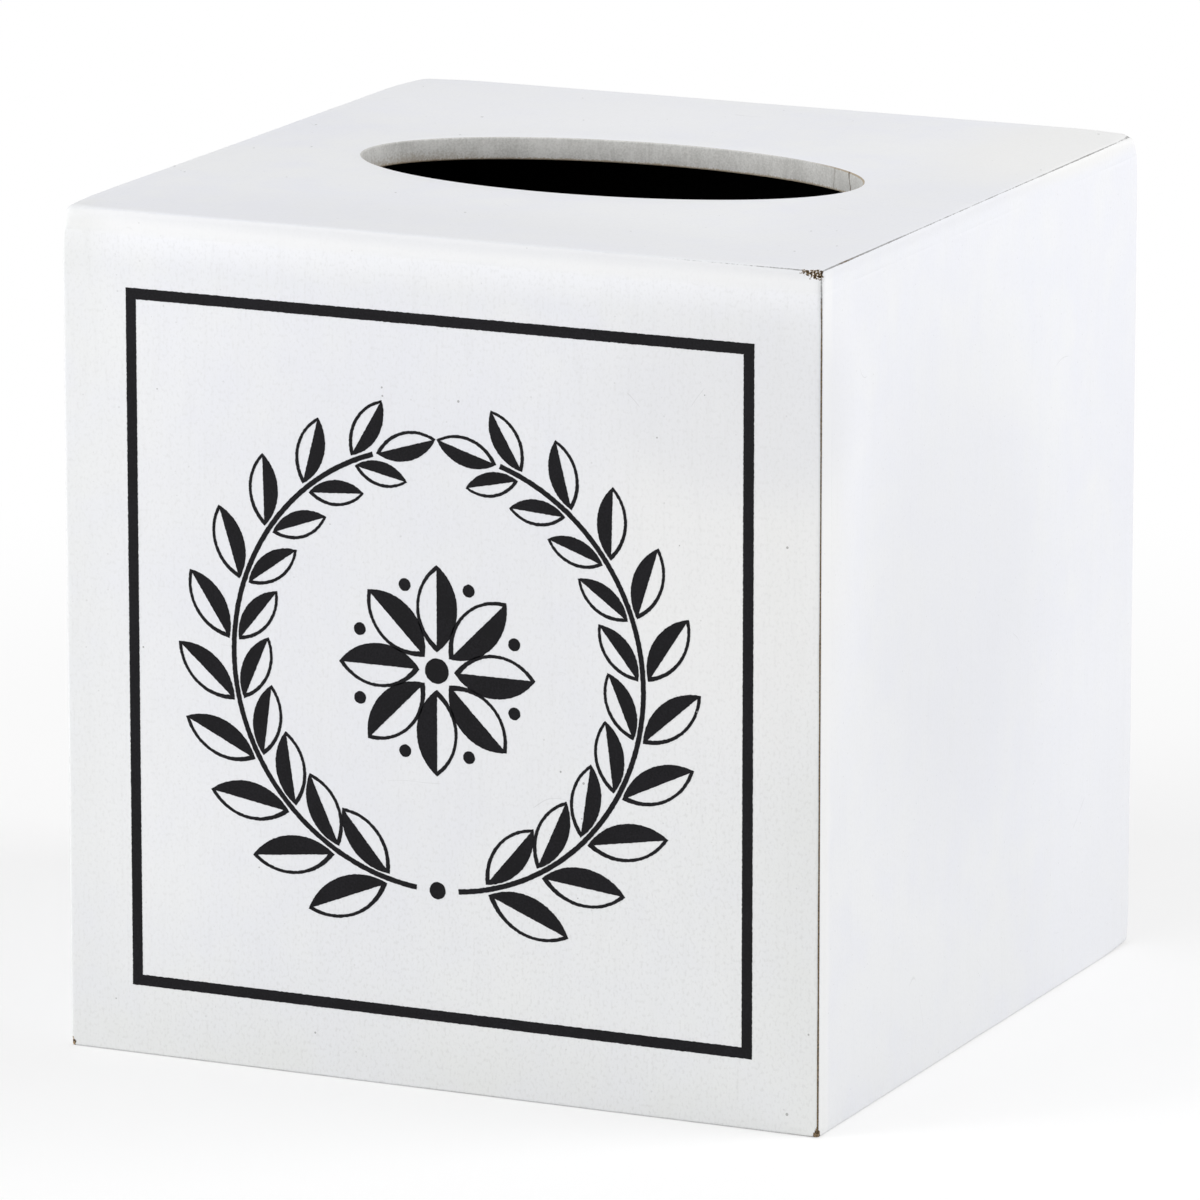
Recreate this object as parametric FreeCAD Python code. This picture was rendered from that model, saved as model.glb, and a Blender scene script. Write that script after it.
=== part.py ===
import FreeCAD
import Part
import math
import os

from FreeCAD import Vector

# Painted fibreboard cover that drops over an upright cube box of paper tissues.
# Five thin boards are butted, glued and pinned into a box that is open below.
# Millimetres, +Z up, the printed front faces -Y.
# The origin is the middle of the footprint, on the surface that the cover stands on.

# Cover
WIDTH = 140.0
DEPTH = 140.0
HEIGHT = 147.0
BOARD = 4.0
EDGE_ROUND = 1.0
BASE_ROUND = 0.4

# Oval opening that the tissues come out of
OPENING_LENGTH = 92.0
OPENING_WIDTH = 50.0
RIM_ROUND = 0.3

# Headless wire pins, set below the surface and painted over
PIN_DIAMETER = 0.64
PIN_LENGTH = 12.0
PIN_SET_DEPTH = 0.6
PIN_HOLE_CLEARANCE = 0.02
PIN_END_INSET = 20.0
PINS_IN_ROW = 3

# Border line printed on the front
INK = 0.05
BORDER_LINE = 1.9
BORDER_SIDE_INSET = 12.1
BORDER_TOP_INSET = 13.2
BORDER_BASE_INSET = 12.2

# Leaf wreath and rosette printed inside the border, as shares of the wreath's reach
WREATH_MARGIN = 6.0
STEM_WIDTH = 0.9
LEAF_OUTLINE = 0.55
STEM_RADIUS_SHARE = 0.76
LEAF_GAP_SHARE = 0.018
LEAF_LENGTH_SHARE = 0.32
LEAF_WIDTH_SHARE = 0.14
INNER_LEAF_SHARE = 0.86
LEAF_TAPER_SHARE = 0.28
BLANK_START_SHARE = 0.08
BLANK_END_SHARE = 0.94
BERRY_SHARE = 0.06
PETAL_START_SHARE = 0.064
PETAL_LENGTH_SHARE = 0.3
PETAL_WIDTH_SHARE = 0.152
EYE_SHARE = 0.088
DOT_RADIUS_SHARE = 0.31
DOT_SHARE = 0.044
LEAF_PAIRS = 10
LEAF_LEAN = math.radians(36)
BRANCH_START = math.radians(-76)
BRANCH_END = math.radians(66)
STEM_TOP_TURN = math.radians(6)
TIP_LEAF_TURN = math.radians(7)
PETALS = 8

# How far a cutting shape runs past the face that it cuts
OVERRUN = 1.0

# Places worked out from the sizes above
WALL_HEIGHT = HEIGHT - BOARD
SIDE_LENGTH = DEPTH - 2 * BOARD
FRONT_Y = -DEPTH / 2
WALL_MIDDLE_X = (WIDTH - BOARD) / 2
WALL_MIDDLE_Y = (DEPTH - BOARD) / 2
PIN_RADIUS = PIN_DIAMETER / 2
HOLE_RADIUS = PIN_RADIUS + PIN_HOLE_CLEARANCE

BORDER_LEFT = -WIDTH / 2 + BORDER_SIDE_INSET
BORDER_RIGHT = WIDTH / 2 - BORDER_SIDE_INSET
BORDER_BASE = BORDER_BASE_INSET
BORDER_TOP = HEIGHT - BORDER_TOP_INSET
PRINT_MIDDLE_Z = (BORDER_BASE + BORDER_TOP) / 2
CLEAR_WIDTH = BORDER_RIGHT - BORDER_LEFT - 2 * BORDER_LINE
CLEAR_HEIGHT = BORDER_TOP - BORDER_BASE - 2 * BORDER_LINE

WREATH_REACH = min(CLEAR_WIDTH, CLEAR_HEIGHT) / 2 - WREATH_MARGIN
STEM_RADIUS = STEM_RADIUS_SHARE * WREATH_REACH
LEAF_GAP = LEAF_GAP_SHARE * WREATH_REACH
LEAF_LENGTH = LEAF_LENGTH_SHARE * WREATH_REACH
LEAF_WIDTH = LEAF_WIDTH_SHARE * WREATH_REACH

UP = Vector(0, 0, 1)
BACKWARD = Vector(0, 1, 0)
FORWARD = Vector(0, -1, 0)


# Boards

def plank(size_x, size_y, size_z, middle_x, middle_y, base_z):
    """A square-edged board, placed by the middle of its footprint."""
    corner = Vector(middle_x - size_x / 2, middle_y - size_y / 2, base_z)
    return Part.makeBox(size_x, size_y, size_z, corner)


def middle_of(edge):
    return edge.BoundBox.Center


def is_near(value, target):
    return math.isclose(value, target, abs_tol=BASE_ROUND / 2)


def is_outline(point):
    """True on the outer faces of the cover, seen from above."""
    return is_near(abs(point.x), WIDTH / 2) or is_near(abs(point.y), DEPTH / 2)


def eased_base(board, is_outer):
    """Rounds the bottom edges of a wall on the sides that face out."""
    edges = [edge for edge in board.Edges if is_near(edge.BoundBox.ZMax, 0) and is_outer(middle_of(edge))]
    return board.makeFillet(BASE_ROUND, edges)


def without(board, holes):
    return board.cut(Part.makeCompound(holes))


def top_panel():
    """The lid board lies on all four walls and carries the oval opening."""
    plate = plank(WIDTH, DEPTH, BOARD, 0, 0, WALL_HEIGHT)
    oval = Part.Ellipse(Vector(0, 0, WALL_HEIGHT - OVERRUN), OPENING_LENGTH / 2, OPENING_WIDTH / 2)
    oval_face = Part.Face(Part.Wire(oval.toShape()))
    plate = plate.cut(oval_face.extrude(UP * (BOARD + 2 * OVERRUN)))
    rims = [edge for edge in plate.Edges if not isinstance(edge.Curve, Part.Line)]
    plate = plate.makeFillet(RIM_ROUND, rims)
    outer = [
        edge for edge in plate.Edges
        if is_near(edge.BoundBox.ZMax, HEIGHT) and is_outline(middle_of(edge))
    ]
    plate = plate.makeFillet(EDGE_ROUND, outer)
    return without(plate, top_pin_holes())


def end_panel(side):
    """The front (side -1) and back (side 1) boards run the full width of the cover."""
    board = plank(WIDTH, BOARD, WALL_HEIGHT, 0, side * WALL_MIDDLE_Y, 0)
    outer_y = side * DEPTH / 2
    uprights = [
        edge for edge in board.Edges
        if edge.BoundBox.ZLength > BOARD and is_near(middle_of(edge).y, outer_y)
    ]
    board = board.makeFillet(EDGE_ROUND, uprights)
    inner_y = side * SIDE_LENGTH / 2
    board = eased_base(board, lambda middle: not is_near(middle.y, inner_y))
    return without(board, top_pin_holes() + wall_pin_holes(side))


def side_panel(side):
    """The left (side -1) and right (side 1) boards stand between the front and the back."""
    board = plank(BOARD, SIDE_LENGTH, WALL_HEIGHT, side * WALL_MIDDLE_X, 0, 0)
    outer_x = side * WIDTH / 2
    board = eased_base(board, lambda middle: is_near(middle.x, outer_x))
    return without(board, top_pin_holes() + wall_pin_holes(-1) + wall_pin_holes(1))


# Pins

def row(half_span):
    """Evenly spaced places either side of a row's middle."""
    step = 2 * half_span / (PINS_IN_ROW - 1)
    return [index * step - half_span for index in range(PINS_IN_ROW)]


def top_pin_heads():
    """Pins driven down through the lid board into the middle of each wall."""
    head_z = HEIGHT - PIN_SET_DEPTH
    heads = []
    for side in (-1, 1):
        for x in row(WIDTH / 2 - PIN_END_INSET):
            heads.append(Vector(x, side * WALL_MIDDLE_Y, head_z))
        for y in row(DEPTH / 2 - PIN_END_INSET):
            heads.append(Vector(side * WALL_MIDDLE_X, y, head_z))
    return heads


def wall_pin_heads(side):
    """Pins driven through the front or back board into the edges of the side boards."""
    head_y = side * (DEPTH / 2 - PIN_SET_DEPTH)
    heights = [WALL_HEIGHT / 2 + offset for offset in row(WALL_HEIGHT / 2 - PIN_END_INSET)]
    return [Vector(x, head_y, z) for x in (-WALL_MIDDLE_X, WALL_MIDDLE_X) for z in heights]


def rods(heads, direction, radius):
    return [Part.makeCylinder(radius, PIN_LENGTH, head, direction) for head in heads]


def inward(side):
    return BACKWARD if side < 0 else FORWARD


def top_pin_holes():
    return rods(top_pin_heads(), -UP, HOLE_RADIUS)


def wall_pin_holes(side):
    return rods(wall_pin_heads(side), inward(side), HOLE_RADIUS)


def top_pins():
    return Part.makeCompound(rods(top_pin_heads(), -UP, PIN_RADIUS))


def wall_pins(side):
    return Part.makeCompound(rods(wall_pin_heads(side), inward(side), PIN_RADIUS))


# Print on the front

def on_front(across, up):
    """A point of the drawing, measured from the middle of the border."""
    return Vector(across, FRONT_Y, PRINT_MIDDLE_Z + up)


def ink_film(face):
    return face.extrude(FORWARD * INK)


def rectangle(left, right, base, top):
    corners = [Vector(left, FRONT_Y, base), Vector(right, FRONT_Y, base),
               Vector(right, FRONT_Y, top), Vector(left, FRONT_Y, top)]
    return Part.Face(Part.makePolygon(corners + corners[:1]))


def disc(across, up, diameter):
    circle = Part.Circle(on_front(across, up), FORWARD, diameter / 2)
    return Part.Face(Part.Wire(circle.toShape()))


def bowed_face(start, end, rise_left, rise_right):
    """The shape between two curves from start to end; a rise of zero is a straight line."""
    along = (end - start).normalize()
    left = along.cross(FORWARD)
    middle = (start + end) / 2
    edges = []
    for rise in (rise_left, -rise_right):
        if rise == 0:
            edges.append(Part.LineSegment(start, end).toShape())
        else:
            edges.append(Part.Arc(start, middle + left * rise, end).toShape())
    return Part.Face(Part.Wire(edges))


def leaf(across, up, angle, length, width, dark_side):
    """A pointed leaf, printed solid on one side of its rib and in outline on the other."""
    foot = on_front(across, up)
    run = Vector(math.cos(angle), 0, math.sin(angle)) * length
    whole = bowed_face(foot, foot + run, width / 2, width / 2)
    blank_foot = foot + run * BLANK_START_SHARE
    blank_tip = foot + run * BLANK_END_SHARE
    blank_rise = width / 2 - LEAF_OUTLINE
    if dark_side > 0:
        blank = bowed_face(blank_foot, blank_tip, 0, blank_rise)
    else:
        blank = bowed_face(blank_foot, blank_tip, blank_rise, 0)
    return ink_film(whole.cut(blank).Faces[0])


def branch_leaf(mirror, turn, radius, lean, scale, dark_side):
    """A leaf that starts at a turn around the wreath, on the right branch or its mirror image."""
    angle = turn + math.pi / 2 - lean
    across = radius * math.cos(turn)
    up = radius * math.sin(turn)
    if mirror < 0:
        angle = math.pi - angle
    return leaf(mirror * across, up, angle, LEAF_LENGTH * scale, LEAF_WIDTH * scale, mirror * dark_side)


def stem(mirror, berry):
    """A curved line from beside the bottom berry to just short of the tip leaf."""
    start = math.asin((berry + STEM_WIDTH) / STEM_RADIUS) - math.pi / 2
    end = BRANCH_END + STEM_TOP_TURN
    edges = []
    rims = []
    for radius in (STEM_RADIUS - STEM_WIDTH / 2, STEM_RADIUS + STEM_WIDTH / 2):
        points = [
            on_front(mirror * radius * math.cos(turn), radius * math.sin(turn))
            for turn in (start, (start + end) / 2, end)
        ]
        edges.append(Part.Arc(*points).toShape())
        rims.append(points)
    inner, outer = rims
    edges.append(Part.LineSegment(inner[0], outer[0]).toShape())
    edges.append(Part.LineSegment(inner[-1], outer[-1]).toShape())
    return ink_film(Part.Face(Part.Wire(Part.__sortEdges__(edges))))


def branch(mirror, berry):
    """One side of the wreath: a stem, pairs of leaves that shrink upwards, and a tip leaf."""
    solids = [stem(mirror, berry)]
    for index in range(LEAF_PAIRS):
        climb = index / (LEAF_PAIRS - 1)
        turn = BRANCH_START + (BRANCH_END - BRANCH_START) * climb
        scale = 1 - LEAF_TAPER_SHARE * climb
        solids.append(branch_leaf(mirror, turn, STEM_RADIUS + LEAF_GAP, LEAF_LEAN, scale, -1))
        inner_scale = scale * INNER_LEAF_SHARE
        solids.append(branch_leaf(mirror, turn, STEM_RADIUS - LEAF_GAP, -LEAF_LEAN, inner_scale, 1))
    tip_turn = BRANCH_END + TIP_LEAF_TURN
    solids.append(branch_leaf(mirror, tip_turn, STEM_RADIUS, 0, 1 - LEAF_TAPER_SHARE, -1))
    return solids


def rosette():
    """A ring of petals around a round eye, with a dot between each two petals."""
    solids = [ink_film(disc(0, 0, EYE_SHARE * WREATH_REACH))]
    start = PETAL_START_SHARE * WREATH_REACH
    dot_radius = DOT_RADIUS_SHARE * WREATH_REACH
    for index in range(PETALS):
        turn = math.pi / 2 + index * math.tau / PETALS
        solids.append(leaf(start * math.cos(turn), start * math.sin(turn), turn,
                           PETAL_LENGTH_SHARE * WREATH_REACH, PETAL_WIDTH_SHARE * WREATH_REACH, 1))
        between = turn + math.pi / PETALS
        solids.append(ink_film(disc(dot_radius * math.cos(between), dot_radius * math.sin(between),
                                    DOT_SHARE * WREATH_REACH)))
    return solids


def printed_border():
    frame = rectangle(BORDER_LEFT, BORDER_RIGHT, BORDER_BASE, BORDER_TOP)
    clear = rectangle(BORDER_LEFT + BORDER_LINE, BORDER_RIGHT - BORDER_LINE,
                      BORDER_BASE + BORDER_LINE, BORDER_TOP - BORDER_LINE)
    return ink_film(frame.cut(clear).Faces[0])


def printed_wreath():
    berry = BERRY_SHARE * WREATH_REACH
    bottom_berry = ink_film(disc(0, -STEM_RADIUS, berry))
    return Part.makeCompound(branch(1, berry) + branch(-1, berry) + [bottom_berry] + rosette())


NODES = {
    "top_panel": top_panel(),
    "front_panel": end_panel(-1),
    "back_panel": end_panel(1),
    "left_panel": side_panel(-1),
    "right_panel": side_panel(1),
    "top_pins": top_pins(),
    "front_pins": wall_pins(-1),
    "back_pins": wall_pins(1),
    "printed_border": printed_border(),
    "printed_wreath": printed_wreath(),
}

os.makedirs("parts", exist_ok=True)
for name, shape in NODES.items():
    shape.exportStep(f"parts/{name}.step")
    print(name, len(shape.Solids), "solids", round(shape.Volume, 2), "mm3", "valid", shape.isValid())
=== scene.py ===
# %% [markdown]
# # A painted tissue box cover
#
# The object is a small box of thin fibreboard that drops over an upright box of
# tissues. Five boards are glued and pinned together, painted white, sanded
# through here and there along the edges, and printed in black on the front.
# The solid parts already exist at their real size, so this lesson dresses
# them: it rebuilds each board with the uneven edges of a hand-sanded one,
# roughens the print, and gives every surface a finish made from nodes.

# %% Load the solid parts
import math

import bmesh
import bpy
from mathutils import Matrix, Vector, geometry, noise


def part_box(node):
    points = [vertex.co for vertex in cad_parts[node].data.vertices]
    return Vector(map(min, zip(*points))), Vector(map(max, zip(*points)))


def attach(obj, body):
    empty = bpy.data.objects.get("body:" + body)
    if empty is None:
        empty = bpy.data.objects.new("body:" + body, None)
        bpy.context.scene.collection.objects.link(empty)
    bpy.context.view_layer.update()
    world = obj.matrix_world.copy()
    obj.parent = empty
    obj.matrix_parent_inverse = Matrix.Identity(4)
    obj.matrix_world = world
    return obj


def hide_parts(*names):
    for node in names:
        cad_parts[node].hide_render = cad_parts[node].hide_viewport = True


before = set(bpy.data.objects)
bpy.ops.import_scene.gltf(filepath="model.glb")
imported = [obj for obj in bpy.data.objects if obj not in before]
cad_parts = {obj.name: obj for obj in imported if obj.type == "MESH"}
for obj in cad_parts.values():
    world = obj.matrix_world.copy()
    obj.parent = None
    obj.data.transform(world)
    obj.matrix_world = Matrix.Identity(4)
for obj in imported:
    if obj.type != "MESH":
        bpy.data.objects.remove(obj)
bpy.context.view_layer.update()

print("solid parts:", ", ".join(sorted(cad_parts)))

# %% [markdown]
# ## Sizes come from the solids
#
# Nothing is measured twice: the outside of the cover, the thickness of a board
# and the height of the joint under the lid are read from the boxes of the solid
# parts. The oval opening has no box of its own, so its two half lengths are
# the furthest points of the lid's inner wall, away from its eased rims.

# %% Read the sizes
lid_low, lid_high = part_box("top_panel")
HALF_WIDTH = lid_high.x
HALF_DEPTH = lid_high.y
TOP = lid_high.z
JOINT_HEIGHT = lid_low.z
BOARD = TOP - JOINT_HEIGHT
RIM_EASE = 0.0003

opening_wall = [
    vertex.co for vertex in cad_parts["top_panel"].data.vertices
    if JOINT_HEIGHT + RIM_EASE / 2 < vertex.co.z < TOP - RIM_EASE / 2
    and abs(vertex.co.x) < HALF_WIDTH - 2 * BOARD
    and abs(vertex.co.y) < HALF_DEPTH - 2 * BOARD
]
OPENING_HALF_LENGTH = max(abs(point.x) for point in opening_wall)
OPENING_HALF_WIDTH = max(abs(point.y) for point in opening_wall)
print(f"board {BOARD * 1000:.1f} mm, opening {OPENING_HALF_LENGTH * 2000:.1f} x "
      f"{OPENING_HALF_WIDTH * 2000:.1f} mm")

# %% [markdown]
# ## The camera
#
# The photograph was taken from far away with a long lens, which keeps the
# upright edges almost parallel. The camera is placed by its turn round the
# object, its height angle and its distance, and Blender works out the rotation
# from the direction in which it looks.

# %% Place the camera
VIEW_TURN = math.radians(24.61)
VIEW_HEIGHT = math.radians(12.89)
VIEW_DISTANCE = 1.7245
VIEW_AIM = Vector((-0.0014, -0.0013, 0.0708))
LENS_LENGTH = 297.6


def add_object(name, data):
    """Puts a mesh, a lamp or a camera into the scene as an object."""
    made = bpy.data.objects.new(name, data)
    bpy.context.scene.collection.objects.link(made)
    return made


towards_camera = Vector((
    math.sin(VIEW_TURN) * math.cos(VIEW_HEIGHT),
    -math.cos(VIEW_TURN) * math.cos(VIEW_HEIGHT),
    math.sin(VIEW_HEIGHT),
))
camera_data = bpy.data.cameras.new("photo_camera")
camera_data.lens = LENS_LENGTH
camera = add_object("photo_camera", camera_data)
camera.location = VIEW_AIM + towards_camera * VIEW_DISTANCE
camera.rotation_euler = (-towards_camera).to_track_quat("-Z", "Y").to_euler()
bpy.context.scene.camera = camera
bpy.context.scene.view_settings.view_transform = "Standard"
print("camera at", [round(value, 3) for value in camera.location])

# %% [markdown]
# ## A short way to write nodes
#
# A finish is a small network of nodes. Making each node takes several lines,
# so one helper makes a node, sets its options, and fills each input with a
# number or with a link from another node's output. A socket knows the tree of
# nodes that it belongs to, so the helpers for arithmetic, blends and noise add
# their node to the tree of the sockets they are given.

# %% Nodes and arithmetic
def fill_inputs(node, inputs):
    """Gives inputs, by name or number, a value or a link from another node's output."""
    for name, value in inputs.items():
        if isinstance(value, bpy.types.NodeSocket):
            node.id_data.links.new(value, node.inputs[name])
        else:
            node.inputs[name].default_value = value


def add_node(tree, kind, inputs=(), **options):
    """Makes a node, sets its options and fills its inputs."""
    made = tree.nodes.new(kind)
    for name, value in options.items():
        setattr(made, name, value)
    fill_inputs(made, dict(inputs))
    return made


def tree_of(values):
    """The tree of nodes that the first socket among some values belongs to."""
    return next(value.id_data for value in values if isinstance(value, bpy.types.NodeSocket))


def calculate(operation, *values):
    """One step of arithmetic on numbers or sockets."""
    inputs = dict(enumerate(values))
    return add_node(tree_of(values), "ShaderNodeMath", inputs, operation=operation).outputs[0]


def multiply(first, second):
    """One number times another."""
    return calculate("MULTIPLY", first, second)


def calculate_vector(operation, *vectors):
    """One step of arithmetic on places or other vectors."""
    inputs = dict(enumerate(vectors))
    made = add_node(tree_of(vectors), "ShaderNodeVectorMath", inputs, operation=operation)
    return made.outputs["Value" if operation == "LENGTH" else "Vector"]


# %% Blends and noise
def blend_values(share, below, above):
    """A share of the number above, and the rest from the number below."""
    tree = tree_of((share, below, above))
    return add_node(tree, "ShaderNodeMix", {0: share, 2: below, 3: above}).outputs[0]


def blend_colours(mask, below, above):
    """Shows the colour above where the mask is 1 and the colour below where it is 0."""
    inputs = {0: mask, 6: below, 7: above}
    return add_node(mask.id_data, "ShaderNodeMix", inputs, data_type="RGBA").outputs[2]


def spread(value, low, high, new_low=0.0, new_high=1.0):
    """Stretches a range of values to another range, with soft ends and no overshoot."""
    stretched = add_node(value.id_data, "ShaderNodeMapRange", {
        "Value": value, "From Min": low, "From Max": high, "To Min": new_low, "To Max": new_high,
    }, interpolation_type="SMOOTHSTEP")
    return stretched.outputs["Result"]


def cloud(place, size, stretch=(1, 1, 1), detail=3.0):
    """Soft noise from 0 to 1 in lumps about size metres across, longer along a stretched axis."""
    scaled = add_node(place.id_data, "ShaderNodeMapping", {
        "Vector": place, "Scale": [1 / (size * amount) for amount in stretch],
    })
    made = add_node(place.id_data, "ShaderNodeTexNoise", {
        "Vector": scaled.outputs[0], "Scale": 1.0, "Detail": detail,
    })
    return made.outputs["Fac"]


# %% [markdown]
# ## Effects that finishes share
#
# Some effects come up again and again on this cover. Brushed paint has slow
# patches of warmer and cooler white, fine upright streaks and a pitted grain.
# Handling leaves small dark specks. Sanding takes the paint off the edges, first
# to a thin grey coat and then to bare board. Each effect is a node group that
# puts out plain masks, so that a finish decides for itself what they do.

# %% Make and use a group
def new_group(name, numbers, masks):
    """An empty node group that takes a place and some numbers and puts out masks."""
    group = bpy.data.node_groups.new(name, "ShaderNodeTree")
    add_socket = group.interface.new_socket
    add_socket("Place", in_out="INPUT", socket_type="NodeSocketVector")
    for socket in numbers:
        add_socket(socket, in_out="INPUT", socket_type="NodeSocketFloat")
    for socket in masks:
        add_socket(socket, in_out="OUTPUT", socket_type="NodeSocketFloat")
    given = group.nodes.new("NodeGroupInput").outputs
    print("group:", name)
    return group, given, group.nodes.new("NodeGroupOutput")


def use_group(group, place, **numbers):
    """Puts a group into the finish that a place belongs to, and returns its masks."""
    inputs = {"Place": place, **numbers}
    return add_node(place.id_data, "ShaderNodeGroup", inputs, node_tree=group).outputs


# %% Brushed paint
SLOW_PATCH = 0.045
QUICK_PATCH = 0.009
WIDE_STREAK = 0.0022
FINE_STREAK = 0.0006
GRAIN_SIZE = 0.0005

brushed_group, given, result = new_group("brushed paint", [], ["Patch", "Streak", "Grain"])
slow = cloud(given["Place"], SLOW_PATCH, detail=2.0)
quick = cloud(given["Place"], QUICK_PATCH)
wide = cloud(given["Place"], WIDE_STREAK, stretch=(1, 1, 10), detail=2.0)
fine = cloud(given["Place"], FINE_STREAK, stretch=(1, 1, 12), detail=2.0)
grain = cloud(given["Place"], GRAIN_SIZE, stretch=(1, 1, 1.5), detail=2.0)
fill_inputs(result, {
    "Patch": blend_values(0.45, slow, quick),
    "Streak": blend_values(0.6, wide, fine), "Grain": grain,
})

# %% Small dark specks
SPECK_RIM = 0.006

specks_group, given, result = new_group("specks", ["Spacing", "Radius"], ["Speck"])
tree = specks_group
cells = add_node(tree, "ShaderNodeVectorMath", {
    0: given["Place"], 3: calculate("DIVIDE", 1.0, given["Spacing"]),
}, operation="SCALE")
nearest = add_node(tree, "ShaderNodeTexVoronoi", {"Vector": cells.outputs[0], "Scale": 1.0})
lucky = add_node(tree, "ShaderNodeSeparateColor", {0: nearest.outputs["Color"]})
largest = calculate("DIVIDE", given["Radius"], given["Spacing"])
reach = multiply(largest, calculate("POWER", lucky.outputs[0], 2.0))
inside = calculate("SUBTRACT", reach, nearest.outputs["Distance"])
fill_inputs(result, {"Speck": spread(inside, 0.0, SPECK_RIM)})

# %% [markdown]
# ## Sanding, as the paint sees it
#
# The sanding could follow the mesh's own sharpness, but that can't be exported.
# Instead the points of every board carry three values, worked out with its shape.
# The first, worn, is high along the middle of a rounded edge and zero on the
# flat. The second, chipped, is high at the corners where the board is broken, and
# the third, clean, tells a clean break from a crumbled one. The group adds noise,
# so that the bare line frays and the crumbled corners come apart into bits of
# dark brown, tan and white.

# %% Sanded edges
DRIFT_SIZE = 0.004
FRAY_SIZE = 0.0004
THIN_RANGE = (0.86, 1.00)
BARE_RANGE = (1.02, 1.07)


def carried(tree, name):
    """A value that the points of the mesh carry with them."""
    return add_node(tree, "ShaderNodeAttribute", attribute_name=name).outputs["Fac"]


sanded_group, given, result = new_group("sanded edges", [], ["Thin_and_shade", "Bare", "Tan"])
tree = sanded_group
drift = cloud(given["Place"], DRIFT_SIZE, detail=2.0)
fray = multiply(cloud(given["Place"], FRAY_SIZE), 0.22)
uneven = calculate("MULTIPLY_ADD", drift, 0.16, fray)
depth = calculate("ADD", carried(tree, "worn"), uneven)
bare_edge = spread(depth, *BARE_RANGE)
fill_inputs(result, {"Thin_and_shade": spread(depth, *THIN_RANGE)})

# %% [markdown]
# In a crumbled corner one noise decides what has come off, and a second one which
# bits are white, tan or dark. A clean break keeps no white bits and is one even
# brown.

# %% Sanded edges: crumbled corners
CRUMB_SIZE = 0.00048
BIT_SIZE = 0.00036
CRUMBLE_RANGE = (1.12, 1.18)
BROWN_RANGE = (0.58, 0.54)

chipped = carried(tree, "chipped")
solid = multiply(carried(tree, "clean"), 0.3)
crumb = cloud(given["Place"], CRUMB_SIZE, detail=2.0)
bits = cloud(given["Place"], BIT_SIZE, detail=1.0)
broken = calculate("MULTIPLY_ADD", chipped, 1.2, solid)
crumbled = calculate("MULTIPLY_ADD", crumb, 1.5, broken)
brown_bits = spread(calculate("SUBTRACT", bits, solid), *BROWN_RANGE)
in_chip = multiply(spread(chipped, 0.0, 0.08), brown_bits)
bare_corner = multiply(spread(crumbled, *CRUMBLE_RANGE), in_chip)

contrast = calculate("MULTIPLY_ADD", solid, -18.0, 6.0)
swing = calculate("MULTIPLY_ADD", chipped, contrast, 0.8)
tan = calculate("MULTIPLY_ADD", calculate("SUBTRACT", bits, 0.48), swing, 0.30)
bare = calculate("MAXIMUM", bare_edge, bare_corner)
fill_inputs(result, {"Bare": bare, "Tan": spread(tan, 0.0, 1.0)})

# %% [markdown]
# ## Starting a finish
#
# Every finish starts as one Principled shader and the place on the object that its
# patterns read. Two more helpers take a place apart and turn a height into a bump.

# %% Start a finish
def new_finish(name):
    """A material, its shader, and the place on the object that its patterns read."""
    material = bpy.data.materials.new(name)
    material.use_nodes = True
    place = add_node(material.node_tree, "ShaderNodeTexCoord").outputs["Object"]
    print("finish:", name)
    return material, material.node_tree.nodes["Principled BSDF"], place


def axes_of(place):
    """The X, Y and Z of a place as numbers."""
    return add_node(place.id_data, "ShaderNodeSeparateXYZ", {0: place}).outputs


def bump(height, distance, strength):
    """Shading as if the height rose by a distance in metres."""
    inputs = {"Height": height, "Distance": distance, "Strength": strength}
    return add_node(height.id_data, "ShaderNodeBump", inputs).outputs["Normal"]


# %% [markdown]
# ## White paint over fibreboard
#
# The paint is a flat white that leans a little blue, with warmer patches.

# %% White paint: colour of the coat
COOL_WHITE = (0.823, 0.832, 0.876, 1)
WARM_WHITE = (0.851, 0.858, 0.872, 1)

white_paint, shader, place = new_finish("white_paint")
tree = white_paint.node_tree
axes = axes_of(place)
brushed = use_group(brushed_group, place)
colour = blend_colours(spread(brushed["Patch"], 0.35, 0.65), COOL_WHITE, WARM_WHITE)

# %% [markdown]
# The front is painted a little duller and warmer low down, most of all on the right: this is
# painted shade, darker towards the lower right where less light falls. Hands have also dulled it a
# touch near its edges. The front is found by its place: close behind the front face and below the
# round of the lid's edge. The boards carry one more value for the edges.

# %% White paint: painted shade low down, and hands
HANDS_AND_SHADE_WHITE = (0.780, 0.789, 0.772, 1)
FRONT_SKIN = (0.004, 0.002)
LID_ROUND = (0.0004, 0.0014)
LOW_RANGE = (-0.075, -0.020)
LOW_STRENGTH = 0.36

at_front = spread(axes["Y"], *(inwards - HALF_DEPTH for inwards in FRONT_SKIN))
below_round = spread(axes["Z"], *(TOP - drop for drop in LID_ROUND))
on_front = multiply(at_front, below_round)
# Painted shade: the front turns darker towards its lower right, where less light falls.
downwards = calculate("SUBTRACT", multiply(axes["X"], 0.5), axes["Z"])
low_down = spread(downwards, *LOW_RANGE)
hand_amount = spread(brushed["Patch"], 0.25, 0.60, 0.1, 0.4)
near_edge = multiply(carried(tree, "dulled"), hand_amount)
hands_and_painted_shade = calculate("MULTIPLY_ADD", low_down, LOW_STRENGTH, near_edge)
dulled = multiply(hands_and_painted_shade, on_front)
colour = blend_colours(dulled, colour, HANDS_AND_SHADE_WHITE)

# %% [markdown]
# A painted highlight makes the front brighter in a band just under the lid. Sawn edges soak up more
# paint and stay a plain white, where the value cut says so.

# %% White paint: painted highlight and sawn edges
PAINTED_HIGHLIGHT_WHITE = (0.905, 0.912, 0.940, 1)
EDGE_WHITE = (0.890, 0.892, 0.895, 1)
HIGHLIGHT_REACH = 0.0065
HIGHLIGHT_STRENGTH = 0.85
CUT_STRENGTH = 0.75

# Painted highlight: a brighter band on the front just under the lid.
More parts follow.
